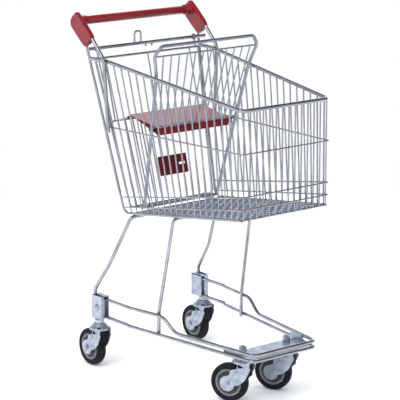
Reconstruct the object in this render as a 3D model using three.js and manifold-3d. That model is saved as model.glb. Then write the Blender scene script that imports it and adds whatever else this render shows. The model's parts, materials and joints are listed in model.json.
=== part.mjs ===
// Nesting supermarket cart: wire basket on a tapering base with four swivel casters,
// swing-up rear gate, folding child seat-back and plastic seat flap.
// Millimetres, +Z up, nose towards -Y, the cart's right-hand side at -X.
// The origin is on the floor under the middle of the cart.
import * as THREE from 'three';
import { mergeVertices } from 'three/addons/utils/BufferGeometryUtils.js';
import Module from 'manifold-3d';

const wasm = await Module();
wasm.setup();

// ---- driving dimensions ----
const GAP = 0.3;
// brings the middle of the overall length over the origin
const CENTRE_Y = 6.1;
const SIDES = [{ name: 'right', sx: -1 }, { name: 'left', sx: 1 }];

// wire and rod stock
const WIRE = 3.6;
const LAP = 2.4;
const RIM_D = 10.4;
const FRAME_D = 7;
const LEG_D = 10;
const RAIL_D = 9;
const HANDLE_ROD_D = 9.5;
const TUBE_D = 9;

// basket: rear edge line, bottom edge, front wall
const REAR_TOP = { x: 187, y: 256, z: 868 };
const REAR_LOW = { x: 155, y: 140.5, z: 437 };
const FRONT_X = 141;
const FRONT_Y = -317;
const FRONT_LOW_Z = 498;
const RIM_REAR_Z = 837;
const RIM_BEND_Y = 185;
const RIM_FRONT_Z = 771;
const SIDE_WIRES = 19;
const FRONT_WIRES = 14;
const BOTTOM_WIRES = 11;
const BOTTOM_CROSS = 16;
// how far the bottom grid stops short of the basket's rear corner
const BOTTOM_SETBACK = 36;
const MID_Z = { rear: 663, front: 664 };
const SECOND_Z = { rear: 479, front: 557 };
const LOWEST_Z = { rear: 453, front: 525 };

// handle
const GRIP_Y = 290;
const GRIP_Z = 930;
const GRIP_R = 11;
const GRIP_HALF = 163;
const CORE_R = 8;
const COLLAR_R = 13.5;
const BLOCK_X0 = 183;
const BLOCK_X1 = 197;

// cross tube that carries the gate
const TUBE_Y = 245.4;
const TUBE_Z = 861;

// gate plane hangs from the tube and leans forward going down
const GATE_TILT = THREE.MathUtils.degToRad(15);
const GATE_TOP_D = 27;
const GATE_LOW_D = 425;
const GATE_TOP_HALF = 173;
const GATE_LOW_HALF = 139;
const GATE_MID_D = 195;
const GATE_WIRES = 12;
const EYE_X = 163;
const SIGN = { x: 18.5, d: 332, half: 47, rise: 26 };
const STAY = { x: 134, tip: 120.6, root: 144, reach: 106, d: 4 };

// seat-back hinged on brackets at the gate's foot, leaning forward going up
const BACK_Y = 98;
const BACK_Z = 455;
const BACK_TILT = THREE.MathUtils.degToRad(14.5);
const BACK_LOW_HALF = 122;
const BACK_WAIST = { h: 374, half: 153 };
const BACK_BAR_H = 427.6;
const BACK_BAR_HALF = 170;
const BACK_TOP_H = 455;
const BACK_TOP_HALF = 152;
const BACK_WIRES = 12;
const HINGE_H = 220;
const HINGE_OFF = 7.5;
const BAND_H = 229.4;
const BACK_FRAME_D = 9;
const BACK_FOOT_D = 7.4;
const BAND_D = 4.2;
const HINGE_ROD_D = 5;

// seat flap, hinged on the seat-back's hinge rod
const FLAP_RISE = THREE.MathUtils.degToRad(8.5);
const FLAP_DEPTH = 114;
const FLAP_FRONT_HALF = 119;
const FLAP_REAR_HALF = 124;
const FLAP_TOP = 5.8;
const FLAP_SKIN = 3;
const FLAP_LIP = 21;

// base
const RAIL_LOW_Z = { rear: 140, mid: 136.5, nose: 131 };
const RAIL_UP_Z = { rear: 189, mid: 187, drop: 151, nose: 146.5 };
const RAIL_REAR = { x: 166.5, y: 251 };
const RAIL_JOG = { x: 167, y: 119 };
const RAIL_NOSE = { x: 104, y: -322 };
const PLATE_Z = 131;
const PLATE_T = 3;

// casters
const WHEEL_R = 50;
const TYRE_HALF = 13.5;
const TRAIL = 35;
const LEG_IN = 16.2;
const LEG_T = 3;
const HEAD_TOP = 124;
// heights of the stem's collar and of its pin's top
const REAR_STEM = { top: 134, pin: 164 };
const FRONT_STEM = { top: PLATE_Z - GAP, pin: 150 };
const CASTERS = [
  { name: 'rear_right', x: -179.4, y: 224, swivel: 2, stem: REAR_STEM },
  { name: 'rear_left', x: 179.4, y: 224, swivel: 2, stem: REAR_STEM },
  { name: 'front_right', x: -74, y: -244, swivel: -26, stem: FRONT_STEM },
  { name: 'front_left', x: 74, y: -244, swivel: -26, stem: FRONT_STEM },
];

// rear caster sockets
const SOCKET = { x0: 171.5, x1: 187.5, y0: 208, y1: 251, z0: 134.3, z1: 198.5, wall: 2.2 };
const CLASP_X = { inner: 158.5, outer: 161 };
const BOLT = { y: 224, z: 166 };

// ---- materials ----
const ZINC = { color: 0xc4cad6, roughness: 0.28, metalness: 0.9 };
const SHEET = { color: 0xc9d2e4, roughness: 0.4, metalness: 0.85 };
const RED = { color: 0xa81f2b, roughness: 0.38, metalness: 0 };
const FLAP_RED = { color: 0x8f1622, roughness: 0.45, metalness: 0 };
const BLACK = { color: 0x16161a, roughness: 0.5, metalness: 0 };
const RUBBER = { color: 0x17171c, roughness: 0.8, metalness: 0 };
const HUB_GREY = { color: 0x686873, roughness: 0.5, metalness: 0 };

// ---- helpers ----
const V = (x, y, z) => new THREE.Vector3(x, y, z);
const lerp = THREE.MathUtils.lerp;
const cart = new THREE.Group();

function signedVolume(position, index) {
  const a = V(0, 0, 0);
  const b = V(0, 0, 0);
  const c = V(0, 0, 0);
  let total = 0;
  for (let i = 0; i < index.count; i += 3) {
    a.fromBufferAttribute(position, index.getX(i));
    b.fromBufferAttribute(position, index.getX(i + 1));
    c.fromBufferAttribute(position, index.getX(i + 2));
    total += a.dot(b.cross(c));
  }
  return total;
}

// a closed three.js geometry as a solid that faces out
function solid(geometry) {
  const bare = new THREE.BufferGeometry();
  bare.setAttribute('position', geometry.getAttribute('position'));
  if (geometry.index) {
    bare.setIndex(geometry.index);
  }
  const merged = mergeVertices(bare, 1e-4);
  const triVerts = Uint32Array.from(merged.index.array);
  if (signedVolume(merged.attributes.position, merged.index) < 0) {
    for (let i = 0; i < triVerts.length; i += 3) {
      [triVerts[i], triVerts[i + 1]] = [triVerts[i + 1], triVerts[i]];
    }
  }
  const vertProperties = Float32Array.from(merged.attributes.position.array);
  const mesh = new wasm.Mesh({ numProp: 3, vertProperties, triVerts });
  mesh.merge();
  return new wasm.Manifold(mesh);
}

function join(geometries) {
  return geometries.map((g) => (g.isBufferGeometry ? solid(g) : g)).reduce((all, one) => all.add(one));
}

function cut(body, tools) {
  return tools.map((g) => (g.isBufferGeometry ? solid(g) : g)).reduce((all, one) => all.subtract(one), body);
}

function geometryOf(body) {
  const mesh = body.getMesh();
  const geometry = new THREE.BufferGeometry();
  geometry.setAttribute('position', new THREE.BufferAttribute(Float32Array.from(mesh.vertProperties), 3));
  geometry.setIndex(new THREE.BufferAttribute(Uint32Array.from(mesh.triVerts), 1));
  return geometry;
}

function add(name, body, look) {
  const closed = body.isBufferGeometry ? solid(body) : body;
  const mesh = new THREE.Mesh(geometryOf(closed), new THREE.MeshStandardMaterial(look));
  mesh.name = name;
  mesh.geometry.translate(0, CENTRE_Y, 0);
  mesh.geometry.computeVertexNormals();
  cart.add(mesh);
}

function box(x0, x1, y0, y1, z0, z1) {
  const g = new THREE.BoxGeometry(Math.abs(x1 - x0), y1 - y0, z1 - z0);
  return g.translate((x0 + x1) / 2, (y0 + y1) / 2, (z0 + z1) / 2);
}

// matrix whose X, Y and Z columns are the given directions
function place(ex, ey, ez, at) {
  return new THREE.Matrix4().makeBasis(ex, ey, ez).setPosition(at);
}

// straight square wire from a to b, with two faces square to `up`
function wire(a, b, up, size = WIRE) {
  const along = b.clone().sub(a);
  const length = along.length();
  const ez = along.normalize();
  const ex = up.clone().cross(ez).normalize();
  const ey = ez.clone().cross(ex);
  const middle = a.clone().add(b).multiplyScalar(0.5);
  return new THREE.BoxGeometry(size, size, length).applyMatrix4(place(ex, ey, ez, middle));
}

// path through fixed stations, with mitred tangents at the bends
class StationPath extends THREE.Curve {
  constructor(points) {
    super();
    this.points = points;
  }

  getPoint(t) {
    const scaled = t * (this.points.length - 1);
    const i = Math.min(Math.floor(scaled + 1e-6), this.points.length - 2);
    return this.points[i].clone().lerp(this.points[i + 1], scaled - i);
  }

  getPointAt(t) {
    return this.getPoint(t);
  }

  getTangentAt(t) {
    const last = this.points.length - 1;
    const i = Math.round(t * last);
    const before = this.points[Math.max(i - 1, 0)];
    const here = this.points[i];
    const after = this.points[Math.min(i + 1, last)];
    const into = i > 0 ? here.clone().sub(before).normalize() : after.clone().sub(here).normalize();
    const out = i < last ? after.clone().sub(here).normalize() : into;
    return into.clone().add(out).normalize();
  }
}

// round the corners of a polyline
function rounded(points, radius, steps = 3) {
  const out = [points[0]];
  for (let i = 1; i < points.length - 1; i += 1) {
    const here = points[i];
    const back = points[i - 1].clone().sub(here);
    const ahead = points[i + 1].clone().sub(here);
    const reach = Math.min(radius, back.length() * 0.45, ahead.length() * 0.45);
    const start = here.clone().addScaledVector(back.normalize(), reach);
    const end = here.clone().addScaledVector(ahead.normalize(), reach);
    const arc = new THREE.QuadraticBezierCurve3(start, here, end);
    out.push(...arc.getPoints(steps));
  }
  out.push(points[points.length - 1]);
  return out;
}

function rod(points, diameter, sides = 8) {
  const ring = new THREE.Shape();
  for (let i = 0; i < sides; i += 1) {
    const angle = ((i + 0.5) / sides) * Math.PI * 2;
    const x = (Math.cos(angle) * diameter) / 2;
    const y = (Math.sin(angle) * diameter) / 2;
    if (i === 0) {
      ring.moveTo(x, y);
    } else {
      ring.lineTo(x, y);
    }
  }
  const extrudePath = new StationPath(points);
  return new THREE.ExtrudeGeometry(ring, { steps: points.length - 1, extrudePath });
}

function shape(points) {
  return new THREE.Shape(points.map(([x, y]) => new THREE.Vector2(x, y)));
}

// a flat outline pushed along +Z, then laid in the given frame
function slab(points, depth, frame, holes = []) {
  const outline = shape(points);
  outline.holes = holes.map((hole) => new THREE.Path(hole.map(([x, y]) => new THREE.Vector2(x, y))));
  return new THREE.ExtrudeGeometry(outline, { depth, bevelEnabled: false }).applyMatrix4(frame);
}

function circle(x, y, r, count) {
  return Array.from({ length: count }, (_, i) => {
    const angle = ((i + 0.5) / count) * Math.PI * 2;
    return [x + r * Math.cos(angle), y + r * Math.sin(angle)];
  });
}

// turned piece: profile is [radius, height] pairs, turned about +Z
function turned(profile, segments = 16) {
  const points = profile.map(([r, h]) => new THREE.Vector2(r, h));
  return new THREE.LatheGeometry(points, segments).rotateX(Math.PI / 2);
}

// plain ring or pin, turned about +Z between two heights
function ring(outer, inner, z0, z1, segments = 12) {
  if (inner === 0) {
    return turned([[0, z0], [outer, z0], [outer, z1], [0, z1]], segments);
  }
  return turned([[inner, z0], [outer, z0], [outer, z1], [inner, z1], [inner, z0]], segments);
}

const alongX = (geometry) => geometry.rotateY(Math.PI / 2);

// ---- basket ----
function rimHeight(y) {
  const fall = Math.max(0, RIM_BEND_Y - y) / (RIM_BEND_Y - FRONT_Y);
  return lerp(RIM_REAR_Z, RIM_FRONT_Z, fall);
}

function rearLine(z) {
  const t = (REAR_TOP.z - z) / (REAR_TOP.z - REAR_LOW.z);
  return V(lerp(REAR_TOP.x, REAR_LOW.x, t), lerp(REAR_TOP.y, REAR_LOW.y, t), z);
}

// point of the side wall: s runs rear to front, t runs rim to bottom
function sidePoint(s, t) {
  const rimRear = rearLine(RIM_REAR_Z);
  const y = lerp(rimRear.y, FRONT_Y, s);
  const top = V(lerp(rimRear.x, FRONT_X, s), y, rimHeight(y));
  const low = V(lerp(REAR_LOW.x, FRONT_X, s), lerp(REAR_LOW.y, FRONT_Y, s), lerp(REAR_LOW.z, FRONT_LOW_Z, s));
  return top.lerp(low, t);
}

function sideUpright(s, sx) {
  const top = sidePoint(s, 0);
  const low = sidePoint(s, 1);
  const length = top.distanceTo(low);
  const a = top.clone().lerp(low, (RIM_D / 2 + 4 * GAP) / length);
  const b = top.clone().lerp(low, 1 - (FRAME_D / 2 + 2 * GAP) / length);
  a.x *= sx;
  b.x *= sx;
  return wire(a, b, V(1, 0, 0));
}

function sideHoop(level, sx) {
  const a = rearLine(level.rear);
  a.x += LAP;
  a.y -= FRAME_D / 2 + 9 * GAP;
  a.x *= sx;
  const b = V(sx * (FRONT_X + LAP), FRONT_Y - GAP, level.front);
  return wire(a, b, V(1, 0, 0));
}

function sideGrid(sx) {
  const wires = [MID_Z, SECOND_Z, LOWEST_Z].map((level) => sideHoop(level, sx));
  for (let i = 0; i < SIDE_WIRES; i += 1) {
    wires.push(sideUpright(lerp(0.065, 0.972, i / (SIDE_WIRES - 1)), sx));
  }
  return join(wires);
}

function frontGrid() {
  const half = FRONT_X - 5;
  const wires = [MID_Z.front, SECOND_Z.front, LOWEST_Z.front].map((z) => {
    const end = FRONT_X + GAP;
    return wire(V(-end, FRONT_Y - LAP, z), V(end, FRONT_Y - LAP, z), V(0, 1, 0));
  });
  for (let i = 0; i < FRONT_WIRES; i += 1) {
    const x = lerp(-half, half, i / (FRONT_WIRES - 1));
    const z1 = RIM_FRONT_Z - RIM_D / 2 - 2 * GAP;
    wires.push(wire(V(x, FRONT_Y, FRONT_LOW_Z - 2), V(x, FRONT_Y, z1), V(0, 1, 0)));
  }
  return join(wires);
}

function floorPoint(k, y) {
  const s = (REAR_LOW.y - y) / (REAR_LOW.y - FRONT_Y);
  const half = lerp(REAR_LOW.x, FRONT_X, s) - FRAME_D / 2 - 3 * GAP;
  return V(k * half, y, lerp(REAR_LOW.z, FRONT_LOW_Z, s));
}

function bottomGrid() {
  const y0 = REAR_LOW.y - BOTTOM_SETBACK;
  const y1 = FRONT_Y + 5.5;
  const up = V(0, 0, 1);
  const bars = [];
  for (let i = 0; i < BOTTOM_WIRES; i += 1) {
    const k = lerp(-0.9, 0.9, i / (BOTTOM_WIRES - 1));
    bars.push(wire(floorPoint(k, y0 - 1), floorPoint(k, y1 + 1), up));
  }
  for (let i = 1; i <= BOTTOM_CROSS; i += 1) {
    const y = lerp(y0, y1, i / (BOTTOM_CROSS + 1));
    const drop = V(0, 0, -LAP);
    bars.push(wire(floorPoint(-1, y).add(drop), floorPoint(1, y).add(drop), up));
  }
  bars.push(rod([floorPoint(-1, y0), floorPoint(1, y0)], 6));
  bars.push(rod([floorPoint(-0.98, y1), floorPoint(0.98, y1)], 6));
  return join(bars);
}

function rim() {
  const start = rearLine(RIM_REAR_Z);
  const y0 = start.y - FRAME_D / 2 - 5 * GAP;
  const bend = sidePoint((start.y - RIM_BEND_Y) / (start.y - FRONT_Y), 0);
  const side = (sx) => [
    V(sx * (start.x - 0.2), y0, RIM_REAR_Z),
    V(sx * bend.x, RIM_BEND_Y, RIM_REAR_Z),
    V(sx * FRONT_X, FRONT_Y, RIM_FRONT_Z),
  ];
  return rod(rounded([...side(-1), ...side(1).reverse()], 16), RIM_D);
}

function sideFrame(sx) {
  const points = [
    V(sx * REAR_TOP.x, REAR_TOP.y, REAR_TOP.z),
    V(sx * REAR_LOW.x, REAR_LOW.y, REAR_LOW.z),
    V(sx * FRONT_X, FRONT_Y + 3, FRONT_LOW_Z),
  ];
  return rod(rounded(points, 22), FRAME_D);
}

function buildBasket() {
  SIDES.forEach(({ name, sx }) => {
    add(`side_grid_${name}`, sideGrid(sx), ZINC);
    add(`side_frame_${name}`, sideFrame(sx), ZINC);
  });
  add('front_grid', frontGrid(), ZINC);
  add('bottom_grid', bottomGrid(), ZINC);
  add('rim_rod', rim(), ZINC);
}

// ---- handle ----
const BLOCK_OUTLINE = [
  [287, 950], [297, 948], [306, 942], [313, 932], [314, 923], [308, 911],
  [259, 871], [247, 872], [240, 876], [231, 887], [230, 901],
];

function cornerBlock(sx) {
  const frame = place(V(0, 1, 0), V(0, 0, 1), V(1, 0, 0), V(sx > 0 ? BLOCK_X0 : -BLOCK_X1, 0, 0));
  const body = slab(BLOCK_OUTLINE, BLOCK_X1 - BLOCK_X0, frame);
  const at = (g) => alongX(g).translate(0, GRIP_Y, GRIP_Z);
  const x0 = GRIP_HALF + GAP;
  const collar = at(ring(COLLAR_R, 0, ...[sx * x0, sx * (BLOCK_X0 + 2)].sort((a, b) => a - b)));
  const bore = at(ring(CORE_R + GAP, 0, ...[sx * (x0 - 1), sx * (BLOCK_X0 + 5)].sort((a, b) => a - b)));
  return cut(join([body, collar]), [bore]);
}

function handleRod(sx) {
  const points = [
    V(sx * 190, 226.5, 890.5),
    V(sx * 189.5, 179, 842.5),
    V(sx * 179.5, 175, 650),
  ];
  return rod(rounded(points, 14), HANDLE_ROD_D);
}

function crossTube() {
  const at = (x) => V(x, TUBE_Y, TUBE_Z);
  const nub = (x) => rod([at(x).add(V(0, 0, -2)), at(x).add(V(0, 0, -10))], 5, 6);
  const knob = alongX(turned([[0, 196], [5, 197], [6, 199.5], [5, 202], [0, 203]], 8));
  return join([rod([at(-191), at(199)], TUBE_D), knob.translate(0, TUBE_Y, TUBE_Z), nub(-1), nub(19)]);
}

function hookLoop() {
  const foot = TUBE_Z + TUBE_D / 2 + GAP;
  const half = 10.5;
  const points = [[-half, foot], [-half, foot + 29], [half, foot + 29], [half, foot]];
  return rod(rounded(points.map(([x, z]) => V(x - 28, TUBE_Y, z)), 10, 4), 5);
}

function buildHandle() {
  const at = (g) => alongX(g).translate(0, GRIP_Y, GRIP_Z);
  const reach = BLOCK_X0 + 4;
  add('grip_sleeve', at(ring(GRIP_R, CORE_R + GAP, -GRIP_HALF, GRIP_HALF, 20)), RED);
  add('handle_bar', at(ring(CORE_R, 0, -reach, reach, 12)), ZINC);
  SIDES.forEach(({ name, sx }) => {
    add(`corner_block_${name}`, cornerBlock(sx), RED);
    add(`handle_rod_${name}`, handleRod(sx), ZINC);
  });
  add('cross_tube', crossTube(), ZINC);
  add('hook_loop', hookLoop(), ZINC);
}

// ---- rear gate ----
const GATE_DOWN = V(0, -Math.sin(GATE_TILT), -Math.cos(GATE_TILT));
const GATE_FRONT = V(0, -Math.cos(GATE_TILT), Math.sin(GATE_TILT));

function gatePoint(x, d, off = 0) {
  return V(x, TUBE_Y, TUBE_Z).addScaledVector(GATE_DOWN, d).addScaledVector(GATE_FRONT, off);
}

function gateHalf(d) {
  return lerp(GATE_TOP_HALF, GATE_LOW_HALF, (d - GATE_TOP_D) / (GATE_LOW_D - GATE_TOP_D));
}

function gateBar(d, size) {
  const half = gateHalf(d);
  return wire(gatePoint(-half, d, LAP), gatePoint(half, d, LAP), GATE_FRONT, size);
}

function gateEye(sx) {
  const loop = alongX(ring(8.5, 5.4, -4, 4, 8)).translate(sx * EYE_X, TUBE_Y, TUBE_Z);
  const shank = wire(gatePoint(sx * EYE_X, 6.6), gatePoint(sx * EYE_X, GATE_TOP_D + 1), GATE_FRONT, 5);
  return [loop, shank];
}

// where the flap's rear corners lie on the stays
function stayRest() {
  return flapPoint(0, STAY.reach, FLAP_TOP - FLAP_SKIN - 2 * GAP - STAY.d / 2);
}

// wire arm that carries a rear corner of the seat flap
function flapStay(sx) {
  const rest = stayRest();
  const tip = (x) => V(sx * x, rest.y, rest.z);
  const root = gatePoint(sx * STAY.root, GATE_MID_D, LAP);
  return rod(rounded([root, tip(STAY.x), tip(STAY.tip)], 3, 2), STAY.d, 6);
}

// flat lug on the gate's foot that holds the seat-back's pivot bar
function pivotLug(sx) {
  const foot = gatePoint(0, GATE_LOW_D);
  const away = V(0, BACK_Y, BACK_Z).sub(foot);
  const length = away.length();
  const frame = place(away.normalize(), V(1, 0, 0).cross(away), V(1, 0, 0), V(sx * 108 - 2, foot.y, foot.z));
  const outline = [[-2, -5], [length, -7], [length + 7, 0], [length, 7], [-2, 5]];
  return slab(outline, 4, frame, [circle(length, 0, BACK_FOOT_D / 2 + 2 * GAP, 8).reverse()]);
}

function rearGate() {
  const frame = [
    gatePoint(-GATE_TOP_HALF, GATE_TOP_D),
    gatePoint(-GATE_LOW_HALF, GATE_LOW_D),
    gatePoint(GATE_LOW_HALF, GATE_LOW_D),
    gatePoint(GATE_TOP_HALF, GATE_TOP_D),
  ];
  const top = [gatePoint(-GATE_TOP_HALF, GATE_TOP_D), gatePoint(GATE_TOP_HALF, GATE_TOP_D)];
  const bars = [rod(rounded(frame, 12), 6), rod(top, 6.4)];
  bars.push(gateBar(GATE_MID_D, 4.4));
  [-142, 0, 142].forEach((x) => {
    bars.push(wire(gatePoint(x, GATE_TOP_D), gatePoint(x, GATE_MID_D + 2), GATE_FRONT));
  });
  for (let i = 0; i < GATE_WIRES; i += 1) {
    const k = lerp(-1, 1, (i + 1) / (GATE_WIRES + 1));
    const a = gatePoint(k * gateHalf(GATE_MID_D), GATE_MID_D - 2);
    bars.push(wire(a, gatePoint(k * GATE_LOW_HALF, GATE_LOW_D), GATE_FRONT));
  }
  SIDES.forEach(({ sx }) => bars.push(...gateEye(sx), flapStay(sx), pivotLug(sx)));
  return join(bars);
}

function signPlate() {
  const off = LAP + WIRE / 2 + GAP;
  const frame = place(V(1, 0, 0), GATE_DOWN, GATE_FRONT.clone(), gatePoint(SIGN.x, SIGN.d, off));
  const { half, rise } = SIGN;
  const outline = [
    [-half, 2 - rise], [2 - half, -rise], [half - 2, -rise], [half, 2 - rise],
    [half, rise - 2], [half - 2, rise], [2 - half, rise], [-half, rise - 2],
  ];
  const slot = [[19, -4], [19, 2], [41, 2], [41, -4]];
  return slab(outline, 3, frame, [slot]);
}

// ---- seat-back and flap ----
const BACK_UP = V(0, -Math.sin(BACK_TILT), Math.cos(BACK_TILT));
const BACK_REAR = V(0, Math.cos(BACK_TILT), Math.sin(BACK_TILT));

function backPoint(x, h, off = 0) {
  return V(x, BACK_Y, BACK_Z).addScaledVector(BACK_UP, h).addScaledVector(BACK_REAR, off);
}

// the legs lean out slightly up to the waist, which passes inside the rim, then faster above it
function backHalf(h) {
  const { h: waist, half } = BACK_WAIST;
  if (h < waist) {
    return lerp(BACK_LOW_HALF, half, h / waist);
  }
  return lerp(half, BACK_BAR_HALF, (h - waist) / (BACK_BAR_H - waist));
}

function backBand(h) {
  const half = backHalf(h) - 2;
  return wire(backPoint(-half, h), backPoint(half, h), BACK_REAR, BAND_D);
}

function backWires() {
  const off = 0.5 - BAND_D / 2 - WIRE / 2;
  return Array.from({ length: BACK_WIRES }, (_, i) => {
    const k = lerp(-1, 1, (i + 1) / (BACK_WIRES + 1));
    const low = backPoint(k * backHalf(BAND_H), BAND_H - 2, off);
    return wire(low, backPoint(k * backHalf(BACK_BAR_H), BACK_BAR_H + 2, off), BACK_REAR);
  });
}

// rod behind the legs that the flap turns on, with a tab to each leg
function hingeRod() {
  const half = backHalf(HINGE_H);
  const at = (x, off) => backPoint(x, HINGE_H, off);
  const tabs = SIDES.map(({ sx }) => wire(at(sx * half, 0), at(sx * half, HINGE_OFF), V(1, 0, 0), 4));
  return [rod([at(-half - 3, HINGE_OFF), at(half + 3, HINGE_OFF)], HINGE_ROD_D), ...tabs];
}

function seatBack() {
  const leg = (sx) => [
    backPoint(sx * BACK_LOW_HALF, -1),
    backPoint(sx * BACK_WAIST.half, BACK_WAIST.h),
    backPoint(sx * BACK_BAR_HALF, BACK_BAR_H + 2),
    backPoint(sx * BACK_TOP_HALF, BACK_TOP_H),
  ];
  const hoop = rod(rounded([...leg(-1), ...leg(1).reverse()], 9, 2), BACK_FRAME_D);
  const foot = rod([backPoint(-BACK_LOW_HALF - 6, 0), backPoint(BACK_LOW_HALF + 6, 0)], BACK_FOOT_D);
  return join([hoop, foot, backBand(BAND_H), backBand(BACK_BAR_H), ...hingeRod(), ...backWires()]);
}

const FLAP_ALONG = V(0, Math.cos(FLAP_RISE), Math.sin(FLAP_RISE));
const FLAP_UP = V(0, -Math.sin(FLAP_RISE), Math.cos(FLAP_RISE));

function flapPoint(x, s, m) {
  return backPoint(x, HINGE_H, HINGE_OFF).addScaledVector(FLAP_ALONG, s).addScaledVector(FLAP_UP, m);
}

function flapCheek(sx) {
  const top = FLAP_TOP - 1;
  const outline = [[-7, top], [-7, FLAP_TOP - FLAP_LIP + 1], [98, FLAP_TOP - FLAP_SKIN], [98, top]];
  const frame = place(FLAP_ALONG, FLAP_UP, V(1, 0, 0), flapPoint(sx * 116.5 - 1.5, 0, 0));
  return slab(outline, 3, frame);
}

function flapKnuckle(x) {
  const frame = place(FLAP_ALONG, FLAP_UP, V(1, 0, 0), flapPoint(x - 7, 0, 0));
  const outline = [[-5, -4], [-3, -5.5], [3, -5.5], [5, -4], [5, FLAP_TOP - 1], [-5, FLAP_TOP - 1]];
  return slab(outline, 14, frame);
}

function seatFlap() {
  const frame = place(V(1, 0, 0), FLAP_ALONG, FLAP_UP, flapPoint(0, 0, FLAP_TOP - FLAP_SKIN));
  const outline = [
    [-FLAP_FRONT_HALF, -9], [FLAP_FRONT_HALF, -9],
    [FLAP_REAR_HALF, FLAP_DEPTH - 6], [FLAP_REAR_HALF - 6, FLAP_DEPTH],
    [-FLAP_REAR_HALF + 6, FLAP_DEPTH], [-FLAP_REAR_HALF, FLAP_DEPTH - 6],
  ];
  const top = slab(outline, FLAP_SKIN, frame);
  const lipFrame = place(V(1, 0, 0), FLAP_ALONG, FLAP_UP, flapPoint(0, 0, FLAP_TOP - FLAP_LIP));
  const half = FLAP_FRONT_HALF - 0.4;
  const lip = slab([[-half, -9], [half, -9], [half, -6], [-half, -6]], FLAP_LIP - 1, lipFrame);
  const knuckles = [-88, 0, 88].map(flapKnuckle);
  const body = join([top, lip, ...SIDES.map(({ sx }) => flapCheek(sx)), ...knuckles]);
  const hinge = flapPoint(0, 0, 0);
  return cut(body, [alongX(ring(3.3, 0, -140, 140, 8)).translate(0, hinge.y, hinge.z)]);
}

function collarOn(point, sx, inner, outer, x0, x1) {
  const g = alongX(ring(outer, inner, x0, x1, 8));
  if (sx < 0) {
    g.translate(-x0 - x1, 0, 0);
  }
  return g.translate(0, point.y, point.z);
}

function buildSeat() {
  add('rear_gate', rearGate(), ZINC);
  add('sign_plate', signPlate(), FLAP_RED);
  add('seat_back', seatBack(), ZINC);
  add('seat_flap', seatFlap(), FLAP_RED);
  const rest = stayRest();
  SIDES.forEach(({ name, sx }) => {
    add(`stay_knob_${name}`, collarOn(rest, sx, 2.5, 5, 124.8, 130), BLACK);
    add(`hinge_bush_${name}`, collarOn(flapPoint(0, 0, 0), sx, 3.1, 6, 121.5, 131), BLACK);
  });
}

// ---- base ----
function railX(y) {
  const t = (RAIL_JOG.y - 8 - y) / (RAIL_JOG.y - 8 - RAIL_NOSE.y);
  return lerp(RAIL_JOG.x - 2.5, RAIL_NOSE.x, t);
}

function railLoop(heights, drop) {
  const side = (sx) => {
    const points = [
      V(sx * RAIL_REAR.x, RAIL_REAR.y, heights.rear),
      V(sx * RAIL_REAR.x, 200, heights.rear),
      V(sx * RAIL_JOG.x, RAIL_JOG.y, heights.rear - 0.6),
      V(sx * railX(RAIL_JOG.y - 8), RAIL_JOG.y - 8, heights.mid),
    ];
    drop.forEach(({ y, z }) => points.push(V(sx * railX(y), y, z)));
    points.push(V(sx * RAIL_NOSE.x, RAIL_NOSE.y, heights.nose));
    return points;
  };
  return rod(rounded([...side(-1), ...side(1).reverse()], 18, 2), RAIL_D);
}

function rearLegs() {
  const side = (sx) => [
    V(sx * 179, 243.3, 172),
    V(sx * 179, 243.3, 205),
    V(sx * 177.5, 242, 216),
    V(sx * 170, 189, 290),
    V(sx * 148, 122, 428),
  ];
  return rod(rounded([...side(-1), ...side(1).reverse()], 14, 3), LEG_D);
}

function frontLegs() {
  const side = (sx) => [
    V(sx * 141, 15, 129),
    V(sx * 141, 14, 196),
    V(sx * 131, -36, 449.5),
  ];
  return rod(rounded([...side(-1), ...side(1).reverse()], 16, 3), LEG_D);
}

function gusset(sx) {
  const y0 = -275;
  const y1 = -216;
  const inward = RAIL_D / 2 + GAP + 0.3;
  const a = V(sx * (railX(y0) - inward), y0, 0);
  const b = V(sx * (railX(y1) - inward), y1, 0);
  const along = b.sub(a);
  const length = along.length();
  const ex = along.normalize();
  const frame = place(ex, V(0, 0, 1), ex.clone().cross(V(0, 0, 1)), a);
  const outline = [[0, PLATE_Z], [length, PLATE_Z], [length, 141], [length - 8, 151], [6, 150], [0, 144]];
  const depth = 2.5;
  if (sx > 0) {
    frame.multiply(new THREE.Matrix4().makeTranslation(0, 0, -depth));
  }
  return slab(outline, depth, frame, [circle(length * 0.55, 142.5, 3, 6).reverse()]);
}

function frontPlate() {
  const half = (y) => railX(y) - RAIL_D / 2 - 2 * GAP;
  const outline = [
    [-half(-308) + 8, -308], [half(-308) - 8, -308],
    [half(-296), -296], [half(-232), -232], [-half(-232), -232], [-half(-296), -296],
  ];
  const z = [PLATE_Z - 1, PLATE_Z + PLATE_T + 1];
  const holes = CASTERS.slice(2).map(({ x, y }) => ring(6.5, 0, ...z).translate(x, y, 0));
  [-38, 0, 38].forEach((x) => holes.push(ring(4, 0, ...z, 6).translate(x, -243, 0)));
  [-30, 30].forEach((x) => holes.push(box(x - 14, x + 14, -294, -288, ...z)));
  const frame = place(V(1, 0, 0), V(0, 1, 0), V(0, 0, 1), V(0, 0, PLATE_Z));
  const plate = cut(solid(slab(outline, PLATE_T, frame)), holes);
  return join([plate, gusset(-1), gusset(1)]);
}

function hexNut(x, y) {
  const z0 = PLATE_Z + PLATE_T + GAP;
  const frame = place(V(1, 0, 0), V(0, 1, 0), V(0, 0, 1), V(x, y, z0));
  return slab(circle(0, 0, 10, 6), 14, frame, [circle(0, 0, 6.6, 12).reverse()]);
}

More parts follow.
